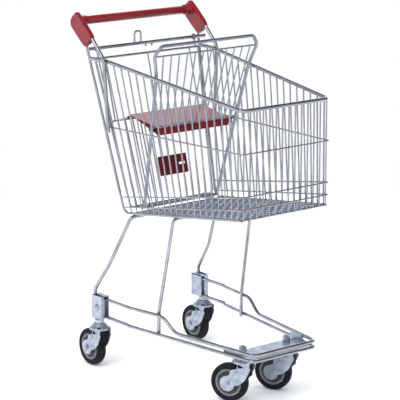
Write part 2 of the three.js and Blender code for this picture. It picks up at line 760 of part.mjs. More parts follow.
// box section that takes a leg from above and a caster stem from below, and clasps the rails
function socket(sx) {
  const { x0, x1, y0, y1, z0, z1, wall } = SOCKET;
  const span = (a, b) => [Math.min(sx * a, sx * b), Math.max(sx * a, sx * b)];
  const outer = solid(box(...span(x0, x1), y0, y1, z0, z1));
  const inner = box(...span(x0 + wall, x1 - wall), y0 + wall, y1 - wall, z0 - 1, z1 + 1);
  const bolt = alongX(ring(5.4, 0, ...span(x1 - wall - 1, x1 + 1), 12)).translate(0, BOLT.y, BOLT.z);
  const web = box(...span(CLASP_X.inner, x0 + 0.5), y0, y1, z1 - 3, z1);
  const clasp = box(...span(CLASP_X.inner, CLASP_X.outer), y0, y1, z0 + 3, z1);
  return cut(outer, [inner, bolt]).add(solid(web)).add(solid(clasp));
}

function socketBolt(sx) {
  const face = SOCKET.x1 + GAP;
  const profile = [[0, face - 2.2], [5, face - 2.2], [5, face], [9.5, face], [9.5, face + 2.5], [7, face + 5.5],
    [3, face + 7], [0, face + 7.4]];
  return alongX(turned(profile.map(([r, h]) => [r, sx * h]), 12)).translate(0, BOLT.y, BOLT.z);
}

function buildBase() {
  const upperDrop = [
    { y: -10, z: RAIL_UP_Z.mid },
    { y: -53, z: RAIL_UP_Z.drop },
  ];
  add('rear_leg_hoop', rearLegs(), ZINC);
  add('front_leg_hoop', frontLegs(), ZINC);
  add('base_rail_lower', railLoop(RAIL_LOW_Z, []), ZINC);
  add('base_rail_upper', railLoop(RAIL_UP_Z, upperDrop), ZINC);
  add('front_plate', frontPlate(), SHEET);
  SIDES.forEach(({ name, sx }, i) => {
    add(`socket_rear_${name}`, socket(sx), SHEET);
    add(`socket_bolt_${name}`, socketBolt(sx), SHEET);
    add(`stem_nut_${name}`, hexNut(CASTERS[2 + i].x, CASTERS[2 + i].y), SHEET);
  });
}

// ---- casters: built with the swivel axis on Z and the wheel trailing towards +Y ----
function stem({ top, pin }) {
  return turned([
    [0, 101.5], [8, 101.5], [8, 105], [5, 105], [5, HEAD_TOP + GAP], [13, HEAD_TOP + GAP], [13, top],
    [5.5, top], [5.5, pin], [0, pin],
  ], 12);
}

const LEG_OUTLINE = [
  [-27, 113], [-26, 99], [-22, 80], [-12, 62], [6, 48], [14.8, 46.4], [18.2, 38.1], [25.7, 31.7],
  [35, 29.5], [44.3, 31.7], [51.8, 38.1], [55.2, 46.4], [55.2, 53.6], [51.8, 61.9], [44.3, 68.3], [36, 70.5],
  [28, 76], [22, 88], [23, 113],
];

function fork() {
  const plate = (x) => {
    const frame = place(V(0, 1, 0), V(0, 0, 1), V(1, 0, 0), V(x, 0, 0));
    return slab(LEG_OUTLINE, LEG_T, frame, [circle(TRAIL, WHEEL_R, 6.5, 10).reverse()]);
  };
  const head = turned([[5.5, 106], [27, 106], [28, 109], [27, 113], [21, 118], [15, HEAD_TOP], [5.5, HEAD_TOP],
    [5.5, 106]], 14);
  return join([plate(LEG_IN), plate(-LEG_IN - LEG_T), head]);
}

function axle() {
  const out = LEG_IN + LEG_T + GAP;
  const profile = [[0, -out - 5], [5, -out - 5], [8.5, -out - 4], [8.5, -out], [6, -out], [6, out], [8.5, out],
    [8.5, out + 4], [5, out + 5], [0, out + 5]];
  return alongX(turned(profile, 10)).translate(0, TRAIL, WHEEL_R);
}

function wheelCore() {
  const profile = [[6.5, -15], [13, -15], [28, -8], [30, -11.5], [36, -11.5], [36, 11.5], [30, 11.5], [28, 8],
    [13, 15], [6.5, 15], [6.5, -15]];
  return alongX(turned(profile, 16)).translate(0, TRAIL, WHEEL_R);
}

function tyre() {
  const inner = 36 + 3 * GAP;
  const profile = [[inner, -12], [43, -TYRE_HALF], [47.6, -10.5], [WHEEL_R, -5], [WHEEL_R, 5], [47.6, 10.5],
    [43, TYRE_HALF], [inner, 12], [inner, -12]];
  return alongX(turned(profile, 28)).translate(0, TRAIL, WHEEL_R);
}

function guardPad() {
  const outline = [[-9, 105.6], [-9, 103], [-14, 103], [-15.5, 73], [-22, 71], [-21.5, 88], [-20, 105.6]];
  const frame = place(V(0, 1, 0), V(0, 0, 1), V(1, 0, 0), V(-13.5, 0, 0));
  return slab(outline, 27, frame);
}

function buildCaster({ name, x, y, swivel, stem: heights }) {
  const turn = -THREE.MathUtils.degToRad(swivel);
  const set = (geometry) => geometry.rotateZ(turn).translate(x, y, 0);
  add(`stem_${name}`, set(stem(heights)), SHEET);
  add(`fork_${name}`, set(geometryOf(fork())), SHEET);
  add(`axle_${name}`, set(axle()), ZINC);
  add(`wheel_core_${name}`, set(wheelCore()), HUB_GREY);
  add(`tyre_${name}`, set(tyre()), RUBBER);
  add(`guard_pad_${name}`, set(guardPad()), BLACK);
}

buildHandle();
buildBasket();
buildSeat();
buildBase();
CASTERS.forEach(buildCaster);

export default cart;
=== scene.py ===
"""Looks for the shopping cart: round wire, bent rod, moulded plastic, pressed casters and the studio."""

import json
import math

import bmesh
import bpy
from mathutils import Matrix, Vector

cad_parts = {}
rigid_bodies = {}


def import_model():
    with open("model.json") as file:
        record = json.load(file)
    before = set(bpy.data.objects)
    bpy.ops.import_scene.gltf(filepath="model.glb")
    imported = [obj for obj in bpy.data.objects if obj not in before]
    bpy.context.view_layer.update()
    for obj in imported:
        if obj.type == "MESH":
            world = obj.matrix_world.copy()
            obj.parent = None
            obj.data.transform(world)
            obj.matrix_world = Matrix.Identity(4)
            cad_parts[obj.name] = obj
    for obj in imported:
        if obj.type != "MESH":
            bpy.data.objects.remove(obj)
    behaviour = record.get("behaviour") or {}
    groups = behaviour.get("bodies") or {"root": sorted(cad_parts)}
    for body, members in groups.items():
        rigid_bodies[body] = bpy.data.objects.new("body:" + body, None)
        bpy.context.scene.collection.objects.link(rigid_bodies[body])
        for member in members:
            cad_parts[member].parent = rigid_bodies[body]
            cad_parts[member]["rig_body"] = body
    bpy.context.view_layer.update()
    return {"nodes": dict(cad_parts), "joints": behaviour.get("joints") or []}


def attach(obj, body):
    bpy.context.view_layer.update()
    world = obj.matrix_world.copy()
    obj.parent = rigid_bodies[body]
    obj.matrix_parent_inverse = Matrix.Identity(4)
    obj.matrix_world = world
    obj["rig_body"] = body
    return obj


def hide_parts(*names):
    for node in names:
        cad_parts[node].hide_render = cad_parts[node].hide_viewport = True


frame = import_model()
NODES = frame["nodes"]
JOINTS = {j["name"]: j for j in frame["joints"]}

# ---- the CAD's layout, in millimetres ----
GATE_AXIS = Vector(JOINTS["gate_swing"]["pos_m"]) * 1000
BACK_AXIS = Vector(JOINTS["seat_back_fold"]["pos_m"]) * 1000
FLAP_AXIS = Vector(JOINTS["seat_flap_fold"]["pos_m"]) * 1000
# the layout has the gate's axis at this y, and its own origin at CENTRE_Y
GATE_AXIS_Y = 245.4
CENTRE_Y = GATE_AXIS.y - GATE_AXIS_Y
SIDES = (("right", -1), ("left", 1))

WIRE_R = 2.0
WELD_EXTRA = 0.35
LAP = 2.4
RIM_R = 5.0
FRAME_R = 3.6
LEG_R = 5.1
RAIL_R = 4.6
HANDLE_ROD_R = 4.8
TUBE_R = 4.6
BACK_R = 4.4

REAR_TOP = Vector((187, 256, 868))
REAR_LOW = Vector((155, 140.5, 437))
FRONT_X, FRONT_Y, FRONT_LOW_Z = 141, -317, 498
RIM_REAR_Z, RIM_BEND_Y, RIM_FRONT_Z = 837, 185, 771
# the first and last upright, as shares of the side's length
SIDE_WIRES, SIDE_FIRST, SIDE_LAST = 19, 0.065, 0.972
FRONT_WIRES = 14
BOTTOM_WIRES, BOTTOM_CROSS, BOTTOM_SETBACK = 11, 16, 36
BOTTOM_SPREAD, BOTTOM_EDGE_R = 0.9, 3.1
HOOPS = ((663, 664), (479, 557), (453, 525))

GRIP_Y, GRIP_Z, GRIP_R, GRIP_HALF = 290, 930, 11, 163
BLOCK_X0, BLOCK_X1 = 183, 197

GATE_TOP_D, GATE_MID_D, GATE_LOW_D = 27, 195, 425
GATE_TOP_HALF, GATE_LOW_HALF, GATE_WIRES = 173, 139, 12
GATE_POST_X, GATE_FRAME_R, GATE_TOP_R = 142, 3.0, 3.2
GATE_TILT = math.radians(15)
GATE_DOWN = Vector((0, -math.sin(GATE_TILT), -math.cos(GATE_TILT)))
GATE_FRONT = Vector((0, -math.cos(GATE_TILT), math.sin(GATE_TILT)))
EYE_X = 163

BACK_LOW_HALF, BACK_WAIST_HALF, BACK_BAR_HALF, BACK_TOP_HALF = 122, 153, 170, 152
HINGE_H, BAND_H, BACK_WAIST_H, BACK_BAR_H, BACK_TOP_H = 220, 229.4, 374, 427.6, 455
# the wires lie in front of the bars, and lap them
BACK_WIRES, BACK_WIRE_OFF = 12, -3.4
BACK_TILT = math.radians(14.5)
BACK_UP = Vector((0, -math.sin(BACK_TILT), math.cos(BACK_TILT)))
BACK_REAR = Vector((0, math.cos(BACK_TILT), math.sin(BACK_TILT)))

FLAP_RISE = math.radians(8.5)
FLAP_ALONG = Vector((0, math.cos(FLAP_RISE), math.sin(FLAP_RISE)))
FLAP_UP = Vector((0, -math.sin(FLAP_RISE), math.cos(FLAP_RISE)))
FLAP_TOP, FLAP_SKIN = 5.8, 3
# rods that carry the flap's rear corners, at the flap's underside
STAY_ROOT_X, STAY_X, STAY_TIP_X = 144, 134, 120.6
STAY_REACH, STAY_R = 106, 2.0
STAY_M = FLAP_TOP - FLAP_SKIN - 0.6 - STAY_R

PLATE_TOP_Z = 134
FRONT_STEM_TOP, REAR_STEM_TOP = 130.7, 134
TRAIL, WHEEL_R, LEG_IN, LEG_T = 35, 50, 16.2, 3
# direction that the black disc of painted shade on each swivel head faces
HOLE_SHADE_AZIMUTH = -39


def lerp(a, b, t):
    return a + (b - a) * t


def lay(p):
    """A CAD layout point, moved over the row frame's origin."""
    return Vector((p[0], p[1] + CENTRE_Y, p[2]))


def direction(azimuth, elevation):
    """Unit vector towards a place at this azimuth and elevation, in degrees."""
    a, e = math.radians(azimuth), math.radians(elevation)
    return Vector((math.sin(a) * math.cos(e), -math.cos(a) * math.cos(e), math.sin(e)))


# ---- mesh building, in millimetres ----
def rounded(points, radius, steps=8):
    """The path with each of its inner corners rounded off."""
    out = [points[0]]
    for before, here, after in zip(points, points[1:], points[2:]):
        back, ahead = before - here, after - here
        reach = min(radius, back.length * 0.45, ahead.length * 0.45)
        start, end = here + back.normalized() * reach, here + ahead.normalized() * reach
        for k in range(steps + 1):
            t = k / steps
            out.append(start * (1 - t) ** 2 + here * (2 * t * (1 - t)) + end * t**2)
    return out + [points[-1]]


def skin(bm, rings, closed=False):
    """Quads between rings of the same number of vertices, with the ends capped."""
    made = [[bm.verts.new(v) for v in ring] for ring in rings]
    pairs = list(zip(made, made[1:])) + ([(made[-1], made[0])] if closed else [])
    for a, b in pairs:
        for k in range(len(a)):
            n = (k + 1) % len(a)
            bm.faces.new((a[k], a[n], b[n], b[k]))
    if not closed:
        bm.faces.new(list(reversed(made[0])))
        bm.faces.new(made[-1])


def sweep(bm, points, radius, sides=12, soft_end=0.5):
    """Round rod along the points, with a small chamfer at each end."""
    first, last = (points[1] - points[0]).normalized(), (points[-1] - points[-2]).normalized()
    stations = [(points[0], radius - soft_end), (points[0] + first * soft_end, radius)]
    stations += [(p, radius) for p in points[1:-1]]
    stations += [(points[-1] - last * soft_end, radius), (points[-1], radius - soft_end)]
    centres = [s[0] for s in stations]
    tangents = [
        (centres[min(i + 1, len(centres) - 1)] - centres[max(i - 1, 0)]).normalized()
        for i in range(len(centres))
    ]
    side = tangents[0].orthogonal().normalized()
    rings = []
    for i, (centre, r) in enumerate(stations):
        if i:
            side = tangents[i - 1].rotation_difference(tangents[i]) @ side
        other = tangents[i].cross(side)
        angles = [2 * math.pi * k / sides for k in range(sides)]
        rings.append([centre + (side * math.cos(a) + other * math.sin(a)) * r for a in angles])
    skin(bm, rings)


def weld(bm, at, radius=2.5):
    bmesh.ops.create_icosphere(bm, subdivisions=1, radius=radius, matrix=Matrix.Translation(at))


def turn(bm, profile, place=None, segments=40):
    """Turned solid about +Z from (radius, height) pairs, in the given frame."""
    place = place or Matrix.Identity(4)
    closed = profile[0] == profile[-1]
    points = profile[:-1] if closed else profile
    rows = []
    for r, h in points:
        if r < 1e-6:
            rows.append([bm.verts.new(place @ Vector((0, 0, h)))])
            continue
        angles = [2 * math.pi * k / segments for k in range(segments)]
        rows.append([bm.verts.new(place @ Vector((r * math.cos(a), r * math.sin(a), h))) for a in angles])
    for a, b in list(zip(rows, rows[1:])) + ([(rows[-1], rows[0])] if closed else []):
        for k in range(segments):
            n = (k + 1) % segments
            quad = [a[k % len(a)], a[n % len(a)], b[n % len(b)], b[k % len(b)]]
            bm.faces.new(list(dict.fromkeys(quad)))


def slab(bm, outline, depth, place):
    """Flat outline pushed along +Z, in the given frame."""
    rings = [[place @ Vector((x, y, z)) for x, y in outline] for z in (0, depth)]
    skin(bm, rings)


def smooth_outline(points, steps=4):
    """Closed Catmull-Rom outline through the points."""
    out = []
    count = len(points)
    for i in range(count):
        p0, p1, p2, p3 = (Vector(points[(i + k) % count]) for k in (-1, 0, 1, 2))
        for s in range(steps):
            t = s / steps
            out.append(
                (
                    p1 * 2
                    + (p2 - p0) * t
                    + (p0 * 2 - p1 * 5 + p2 * 4 - p3) * t**2
                    + (p1 * 3 - p0 - p2 * 3 + p3) * t**3
                )
                * 0.5
            )
    return out


def rounded_rectangle(x0, x1, y0, y1, r, steps=5):
    corners = ((x1 - r, y1 - r, 0), (x0 + r, y1 - r, 90), (x0 + r, y0 + r, 180), (x1 - r, y0 + r, 270))
    out = []
    for cx, cy, start in corners:
        for k in range(steps + 1):
            a = math.radians(start + 90 * k / steps)
            out.append((cx + r * math.cos(a), cy + r * math.sin(a)))
    return out


def basis(ex, ey, ez, at):
    m = Matrix((ex, ey, ez)).transposed().to_4x4()
    m.translation = at
    return m


def along_x(at):
    """Frame whose +Z runs along the row's +X."""
    return basis(Vector((0, 1, 0)), Vector((0, 0, 1)), Vector((1, 0, 0)), at)


def piece(name, bm, node, materials, place=None, bevel=0, segments=3, crease=35, nodes=None):
    """Turns a mesh in millimetres into an object that replaces CAD nodes and rides with them."""
    bmesh.ops.recalc_face_normals(bm, faces=bm.faces)
    bmesh.ops.scale(bm, vec=(0.001, 0.001, 0.001), verts=bm.verts)
    mesh = bpy.data.meshes.new(name)
    bm.to_mesh(mesh)
    bm.free()
    for face in mesh.polygons:
        face.use_smooth = True
    mesh.set_sharp_from_angle(angle=math.radians(crease))
    obj = bpy.data.objects.new(name, mesh)
    bpy.context.scene.collection.objects.link(obj)
    for material in materials if isinstance(materials, (list, tuple)) else [materials]:
        mesh.materials.append(material)
    if place:
        obj.matrix_world = place
    if bevel:
        soften(obj, bevel, segments)
    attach(obj, NODES[node]["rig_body"])
    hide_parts(*(nodes or [node]))
    return obj


def soften(obj, width_mm, segments=3, angle=40):
    bevel = obj.modifiers.new("soft_edges", "BEVEL")
    bevel.width = width_mm / 1000
    bevel.segments = segments
    bevel.limit_method = "ANGLE"
    bevel.angle_limit = math.radians(angle)
    bevel.harden_normals = False


# ---- materials ----
class Shader:
    """A Principled material with object-space textures."""

    def __init__(self, name, metallic=0.0, **sockets):
        self.material = bpy.data.materials.new(name)
        self.material.use_nodes = True
        self.tree = self.material.node_tree
        self.bsdf = self.tree.nodes["Principled BSDF"]
        self.bsdf.inputs["Metallic"].default_value = metallic
        for socket, value in sockets.items():
            self.bsdf.inputs[socket.replace("_", " ")].default_value = value
        self.coord = self.tree.nodes.new("ShaderNodeTexCoord").outputs["Object"]
        self.height = None

    def link(self, a, b):
        self.tree.links.new(a, b)

    def noise(self, scale, detail=4.0, rough=0.55, stretch=(1, 1, 1)):
        mapping = self.tree.nodes.new("ShaderNodeMapping")
        mapping.inputs["Scale"].default_value = stretch
        self.link(self.coord, mapping.inputs["Vector"])
        node = self.tree.nodes.new("ShaderNodeTexNoise")
        node.inputs["Scale"].default_value = scale
        node.inputs["Detail"].default_value = detail
        node.inputs["Roughness"].default_value = rough
        self.link(mapping.outputs["Vector"], node.inputs["Vector"])
        return node.outputs["Fac"]

    def cells(self, scale):
        node = self.tree.nodes.new("ShaderNodeTexVoronoi")
        node.inputs["Scale"].default_value = scale
        self.link(self.coord, node.inputs["Vector"])
        return node.outputs["Distance"]

    def ramp(self, value, stops):
        node = self.tree.nodes.new("ShaderNodeValToRGB")
        ramp = node.color_ramp
        for k, (position, colour) in enumerate(stops):
            element = ramp.elements[k] if k < 2 else ramp.elements.new(position)
            element.position = position
            element.color = (*colour, 1)
        self.link(value, node.inputs["Fac"])
        return node.outputs["Color"]

    def colour(self, value, *stops):
        self.link(self.ramp(value, stops), self.bsdf.inputs["Base Color"])

    def roughness(self, value, low, high):
        node = self.tree.nodes.new("ShaderNodeMapRange")
        node.inputs["From Min"].default_value = 0.3
        node.inputs["From Max"].default_value = 0.7
        node.inputs["To Min"].default_value = low
        node.inputs["To Max"].default_value = high
        self.link(value, node.inputs["Value"])
        self.link(node.outputs["Result"], self.bsdf.inputs["Roughness"])

    def bump(self, value, strength, distance_mm):
        node = self.tree.nodes.new("ShaderNodeBump")
        node.inputs["Strength"].default_value = strength
        node.inputs["Distance"].default_value = distance_mm / 1000
        self.link(value, node.inputs["Height"])
        if self.height:
            self.link(self.height, node.inputs["Normal"])
        self.height = node.outputs["Normal"]
        self.link(self.height, self.bsdf.inputs["Normal"])


def zinc_wire(name, dark, light, low, high):
    s = Shader(name, metallic=1.0)
    s.colour(s.noise(28), (0.3, dark), (0.7, light))
    s.roughness(s.noise(120), low, high)
    s.bump(s.noise(900, detail=2), 0.12, 0.05)
    return s.material


def zinc_sheet():
    s = Shader("zinc_sheet", metallic=0.85)
    s.colour(s.noise(45, detail=6), (0.3, (0.27, 0.30, 0.365)), (0.7, (0.50, 0.55, 0.65)))
    s.roughness(s.noise(160), 0.28, 0.45)
    s.bump(s.cells(350), 0.08, 0.1)
    s.bump(s.noise(700, detail=3), 0.1, 0.05)
    return s.material


def moulded(name, dark, light, low, high, grain=1400, **sockets):
    s = Shader(name, **sockets)
    s.colour(s.noise(22, detail=5), (0.3, dark), (0.72, light))
    s.roughness(s.noise(240), low, high)
    s.bump(s.noise(grain, detail=2), 0.15, 0.06)
    s.bump(s.noise(60, detail=1), 0.06, 0.3)
    return s.material


def rubber():
    s = Shader("tyre_rubber", Specular_IOR_Level=0.15)
    s.colour(s.noise(70, detail=6), (0.35, (0.004, 0.004, 0.007)), (0.75, (0.014, 0.014, 0.020)))
    s.roughness(s.noise(300), 0.5, 0.75)
    s.bump(s.noise(1600, detail=2), 0.3, 0.08)
    return s.material


WIRE = zinc_wire("zinc_wire", (0.30, 0.305, 0.325), (0.45, 0.46, 0.49), 0.16, 0.28)
DULL_WIRE = zinc_wire("zinc_dull", (0.28, 0.305, 0.365), (0.42, 0.45, 0.525), 0.36, 0.52)
SHEET = zinc_sheet()
RED = moulded("handle_red", (0.16, 0.004, 0.009), (0.24, 0.007, 0.015), 0.24, 0.4, Coat_Weight=0.15)
FLAP_RED = moulded("flap_red", (0.12, 0.003, 0.008), (0.18, 0.006, 0.014), 0.4, 0.55, grain=900,
                   Specular_IOR_Level=0.15)
# flap's top faces: a real glossy coat, plus a lighter red base colour that is painted reflection of the
# bright room
FLAP_TOP_PAINTED_REFLECTION = moulded("flap_top_painted_reflection", (0.15, 0.003, 0.012), (0.21, 0.006, 0.020), 0.3, 0.4, grain=900,
                     Coat_Weight=0.45, Coat_Roughness=0.12)
SIGN_RED = moulded("sign_red", (0.10, 0.003, 0.008), (0.15, 0.006, 0.014), 0.3, 0.45,
                   Specular_IOR_Level=0.3)
BLACK = moulded("trim_black", (0.004, 0.004, 0.006), (0.010, 0.010, 0.013), 0.45, 0.65,
                Specular_IOR_Level=0.15)
GREY = moulded("wheel_grey", (0.10, 0.105, 0.125), (0.17, 0.175, 0.20), 0.38, 0.55)
DARK = moulded("wheel_dark", (0.015, 0.015, 0.02), (0.035, 0.035, 0.043), 0.4, 0.6)
RUBBER = rubber()


# ---- basket ----
def rim_height(y):
    return lerp(RIM_REAR_Z, RIM_FRONT_Z, max(0, RIM_BEND_Y - y) / (RIM_BEND_Y - FRONT_Y))


def rear_line(z):
    p = REAR_TOP.lerp(REAR_LOW, (REAR_TOP.z - z) / (REAR_TOP.z - REAR_LOW.z))
    return Vector((p.x, p.y, z))


def side_point(s, t):
    rear = rear_line(RIM_REAR_Z)
    y = lerp(rear.y, FRONT_Y, s)
    top = Vector((lerp(rear.x, FRONT_X, s), y, rim_height(y)))
    low = REAR_LOW.lerp(Vector((FRONT_X, FRONT_Y, FRONT_LOW_Z)), s)
    return top.lerp(low, t)


def mirror(p, sx):
    return lay((sx * p[0], p[1], p[2]))


def crossing(a, b, c, d):
    """Middle of the shortest line between segments a-b and c-d."""
    u, v, w = b - a, d - c, a - c
    uu, uv, vv, uw, vw = u.dot(u), u.dot(v), v.dot(v), u.dot(w), v.dot(w)
    det = uu * vv - uv * uv
    s, t = (uv * vw - vv * uw) / det, (uu * vw - uv * uw) / det
    return (a + u * s + c + v * t) / 2 if 0 < s < 1 and 0 < t < 1 else None


def lattice(bm, ups, acrosses, radius=WIRE_R):
    """Two families of straight round wires with a weld at each crossing."""
    for a, b in ups + acrosses:
        sweep(bm, [a, b], radius, 10)
    for a, b in ups:
        for c, d in acrosses:
            at = crossing(a, b, c, d)
            if at:
                weld(bm, at, radius + WELD_EXTRA)


def side_grid(sx):
    ups, acrosses = [], []
    for i in range(SIDE_WIRES):
        s = lerp(SIDE_FIRST, SIDE_LAST, i / (SIDE_WIRES - 1))
        top, low = side_point(s, 0), side_point(s, 1)
        run = (low - top).normalized()
        ups.append((mirror(top + run * (RIM_R - 0.8), sx), mirror(low - run * (FRAME_R - 0.6), sx)))
    for rear_z, front_z in HOOPS:
        a = rear_line(rear_z) + Vector((LAP, -FRAME_R + 0.8, 0))
        acrosses.append((mirror(a, sx), mirror((FRONT_X + LAP, FRONT_Y - 0.5, front_z), sx)))
    bm = bmesh.new()
    lattice(bm, ups, acrosses)
    return bm


def front_grid():
    half, end = FRONT_X - 5, FRONT_X + 0.3
    ups, acrosses = [], []
    for i in range(FRONT_WIRES):
        x = lerp(-half, half, i / (FRONT_WIRES - 1))
        ups.append((lay((x, FRONT_Y, FRONT_LOW_Z - 2.5)), lay((x, FRONT_Y, RIM_FRONT_Z - RIM_R + 0.8))))
    for _, z in HOOPS:
        acrosses.append((lay((-end, FRONT_Y - LAP, z)), lay((end, FRONT_Y - LAP, z))))
    bm = bmesh.new()
    lattice(bm, ups, acrosses)
    return bm


def floor_point(k, y, drop=0):
    s = (REAR_LOW.y - y) / (REAR_LOW.y - FRONT_Y)
    half = lerp(REAR_LOW.x, FRONT_X, s) - FRAME_R
    return lay((k * half, y, lerp(REAR_LOW.z, FRONT_LOW_Z, s) - drop))


def bottom_grid():
    y0, y1 = REAR_LOW.y - BOTTOM_SETBACK, FRONT_Y + 5.5
    ups = []
    for i in range(BOTTOM_WIRES):
        k = lerp(-BOTTOM_SPREAD, BOTTOM_SPREAD, i / (BOTTOM_WIRES - 1))
        ups.append((floor_point(k, y0 - 2), floor_point(k, y1 + 1)))
    acrosses = []
    for i in range(1, BOTTOM_CROSS + 1):
        y = lerp(y0, y1, i / (BOTTOM_CROSS + 1))
        acrosses.append((floor_point(-1, y, LAP), floor_point(1, y, LAP)))
    bm = bmesh.new()
    lattice(bm, ups, acrosses)
    for y in (y0, y1):
        sweep(bm, [floor_point(-1, y), floor_point(1, y)], BOTTOM_EDGE_R)
    return bm


def mirrored_loop(half, radius, steps=8):
    left = [mirror(p, -1) for p in half]
    right = [mirror(p, 1) for p in reversed(half)]
    return rounded(left + right, radius, steps)


def rim_rod():
    start = rear_line(RIM_REAR_Z)
    bend = side_point((start.y - RIM_BEND_Y) / (start.y - FRONT_Y), 0)
    half = [
        (start.x - 0.2, start.y - FRAME_R + 0.4, RIM_REAR_Z),
        (bend.x, RIM_BEND_Y, RIM_REAR_Z),
        (FRONT_X, FRONT_Y, RIM_FRONT_Z),
    ]
    bm = bmesh.new()
    sweep(bm, mirrored_loop(half, 16), RIM_R)
    return bm


def side_frame(sx):
    half = [REAR_TOP, REAR_LOW, Vector((FRONT_X, FRONT_Y + 1.5, FRONT_LOW_Z))]
    bm = bmesh.new()
    sweep(bm, rounded([mirror(p, sx) for p in half], 22, 12), FRAME_R)
    return bm


def dress_basket():
    for name, sx in SIDES:
        piece(f"side_wires_{name}", side_grid(sx), f"side_grid_{name}", WIRE)
        piece(f"side_rod_{name}", side_frame(sx), f"side_frame_{name}", WIRE)
    piece("front_wires", front_grid(), "front_grid", WIRE)
    piece("bottom_wires", bottom_grid(), "bottom_grid", DULL_WIRE)
    piece("rim_bent_rod", rim_rod(), "rim_rod", WIRE)


# ---- handle ----
BLOCK_OUTLINE = (
    (287, 950), (297, 948), (306, 942), (313, 932), (314, 923), (308, 911),
    (259, 871), (247, 872), (240, 876), (231, 887), (230, 901),
)


def corner_block(sx):
    bm = bmesh.new()
    x0 = BLOCK_X0 if sx > 0 else -BLOCK_X1
    outline = smooth_outline([(y + CENTRE_Y, z) for y, z in BLOCK_OUTLINE], 5)
    slab(bm, outline, BLOCK_X1 - BLOCK_X0, along_x(Vector((x0, 0, 0))))
    return bm


def collar(sx):
    inner, outer = GRIP_HALF + 0.3, BLOCK_X0 + 1
    profile = [(8.6, inner), (12.3, inner), (13.1, inner + 0.4), (13.5, inner + 1.3), (13.5, outer - 3),
               (14.2, outer - 1.2), (15.6, outer), (8.6, outer), (8.6, inner)]
    bm = bmesh.new()
    turn(bm, [(r, sx * h) for r, h in profile], along_x(lay((0, GRIP_Y, GRIP_Z))))
    return bm


def handle_rod(sx):
    half = [Vector((190, 226.5, 890.5)), Vector((189.5, 179, 842.5)), Vector((179.5, 175, 650))]
    bm = bmesh.new()
    sweep(bm, rounded([mirror(p, sx) for p in half], 14, 12), HANDLE_ROD_R, 14)
    return bm


def grip():
    h, r = GRIP_HALF, GRIP_R
    profile = [(8.3, -h), (r - 0.9, -h), (r - 0.25, -h + 0.3), (r, -h + 1), (r, h - 1), (r - 0.25, h - 0.3),
               (r - 0.9, h), (8.3, h), (8.3, -h)]
    bm = bmesh.new()
    turn(bm, profile, along_x(lay((0, GRIP_Y, GRIP_Z))), 56)
    return bm


def handle_bar():
    bm = bmesh.new()
    reach = BLOCK_X0 + 4
    turn(bm, [(0, -reach), (8, -reach), (8, reach), (0, reach)], along_x(lay((0, GRIP_Y, GRIP_Z))), 32)
    return bm


def cross_tube():
    bm = bmesh.new()
    axis = GATE_AXIS
    sweep(bm, [axis + Vector((-191, 0, 0)), axis + Vector((199, 0, 0))], TUBE_R, 20)
    end_knob = [(0, 196), (4.6, 196.4), (5.8, 198), (6, 199.5), (5.6, 201.2), (3.6, 202.6), (0, 203)]
    turn(bm, end_knob, along_x(axis), 24)
    for x in (-1, 19):
        sweep(bm, [axis + Vector((x, 0, -2)), axis + Vector((x, 0, -10))], 2.5)
    return bm


def hook_loop():
    half, height = 10.5, 29
    foot = GATE_AXIS + Vector((-28, 0, TUBE_R - 0.4))
    corners = ((-half, 0, 0), (-half, 0, height), (half, 0, height), (half, 0, 0))
    points = [foot + Vector(corner) for corner in corners]
    bm = bmesh.new()
    sweep(bm, rounded(points, 10, 10), 2.6)
    for x in (-half, half):
        weld(bm, foot + Vector((x, 0, 0)), 3.2)
    return bm


def dress_handle():
    piece("grip_tube", grip(), "grip_sleeve", RED)
    piece("handle_core", handle_bar(), "handle_bar", WIRE)
    for name, sx in SIDES:
        block = corner_block(sx)
        piece(f"corner_cap_{name}", block, f"corner_block_{name}", RED, bevel=3.2, segments=5, crease=60)
        piece(f"corner_collar_{name}", collar(sx), f"corner_block_{name}", RED)
        piece(f"handle_bent_rod_{name}", handle_rod(sx), f"handle_rod_{name}", WIRE)
    piece("cross_bar", cross_tube(), "cross_tube", WIRE)
    piece("hook_bent_loop", hook_loop(), "hook_loop", WIRE)


# ---- rear gate ----
def gate_point(x, d, off=0.0):
    return Vector((x, GATE_AXIS.y, GATE_AXIS.z)) + GATE_DOWN * d + GATE_FRONT * off


def gate_half(d):
    return lerp(GATE_TOP_HALF, GATE_LOW_HALF, (d - GATE_TOP_D) / (GATE_LOW_D - GATE_TOP_D))


def flap_point(x, s, m):
    return Vector((x, FLAP_AXIS.y, FLAP_AXIS.z)) + FLAP_ALONG * s + FLAP_UP * m


def gate_wires():
    ups, acrosses = [], []
    for x in (-GATE_POST_X, 0, GATE_POST_X):
        ups.append((gate_point(x, GATE_TOP_D), gate_point(x, GATE_MID_D + 2.5)))
    for i in range(GATE_WIRES):
        k = lerp(-1, 1, (i + 1) / (GATE_WIRES + 1))
        top = gate_point(k * gate_half(GATE_MID_D), GATE_MID_D - 2.5)
        ups.append((top, gate_point(k * GATE_LOW_HALF, GATE_LOW_D)))
    half = gate_half(GATE_MID_D) + 0.5
    acrosses.append((gate_point(-half, GATE_MID_D, LAP), gate_point(half, GATE_MID_D, LAP)))
    return ups, acrosses


def gate_frame(bm):
    corners = [(-GATE_TOP_HALF, GATE_TOP_D), (-GATE_LOW_HALF, GATE_LOW_D), (GATE_LOW_HALF, GATE_LOW_D),
               (GATE_TOP_HALF, GATE_TOP_D)]
    sweep(bm, rounded([gate_point(x, d) for x, d in corners], 12), GATE_FRAME_R)
    reach = GATE_TOP_HALF + 1
    sweep(bm, [gate_point(-reach, GATE_TOP_D), gate_point(reach, GATE_TOP_D)], GATE_TOP_R)


def gate_eye(bm, sx):
    """Loop of rod bent round the cross tube, with its shank down to the gate's top bar."""
    at = gate_point(sx * EYE_X, 0)
    angles = [2 * math.pi * k / 12 for k in range(12)]
    profile = [(5.4 + 1.5 * (1 - math.cos(a)), 3.4 * math.sin(a)) for a in angles]
    profile.append(profile[0])
    turn(bm, profile, along_x(at), 28)
    sweep(bm, [gate_point(sx * EYE_X, 6.6), gate_point(sx * EYE_X, GATE_TOP_D + 1)], 2.7)


